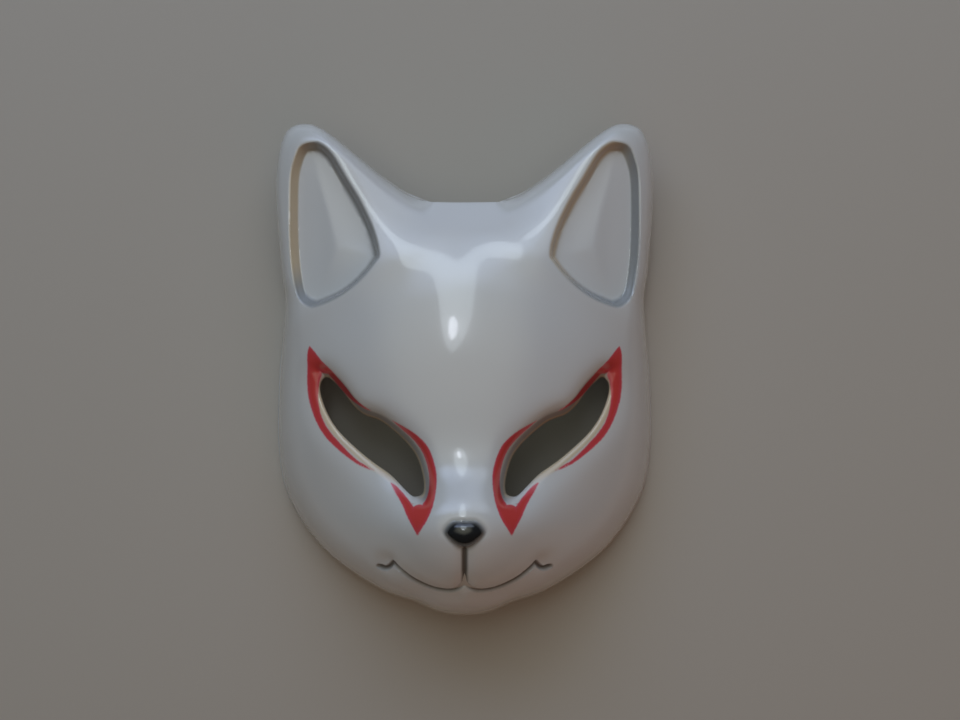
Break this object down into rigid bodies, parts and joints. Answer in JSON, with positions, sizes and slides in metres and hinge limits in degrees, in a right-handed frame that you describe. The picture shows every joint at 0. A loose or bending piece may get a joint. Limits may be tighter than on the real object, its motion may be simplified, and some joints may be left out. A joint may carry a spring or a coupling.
{
  "type": "fox mask",
  "caption": "Full-face fox mask: a thin hollow shell with upright recessed ears, slanted see-through eyes, a short muzzle and a moulded mouth line, lying on its rim.",
  "frame": {"origin": "centre of the bounding box's bottom face, on the plane that the rim lies on", "axes": "+Z out of the front of the face, +Y from the chin towards the ears, +X to the right of the face as seen from the front"},
  "size_m": [0.189, 0.2427, 0.0879],
  "materials": {
    "white_lacquer": "glossy white lacquer, with red strokes round the eyes and a black nose painted on; plainer inside"
  },
  "bodies": {
    "root": {"mask_shell": "white_lacquer"}
  },
  "joints": []
}
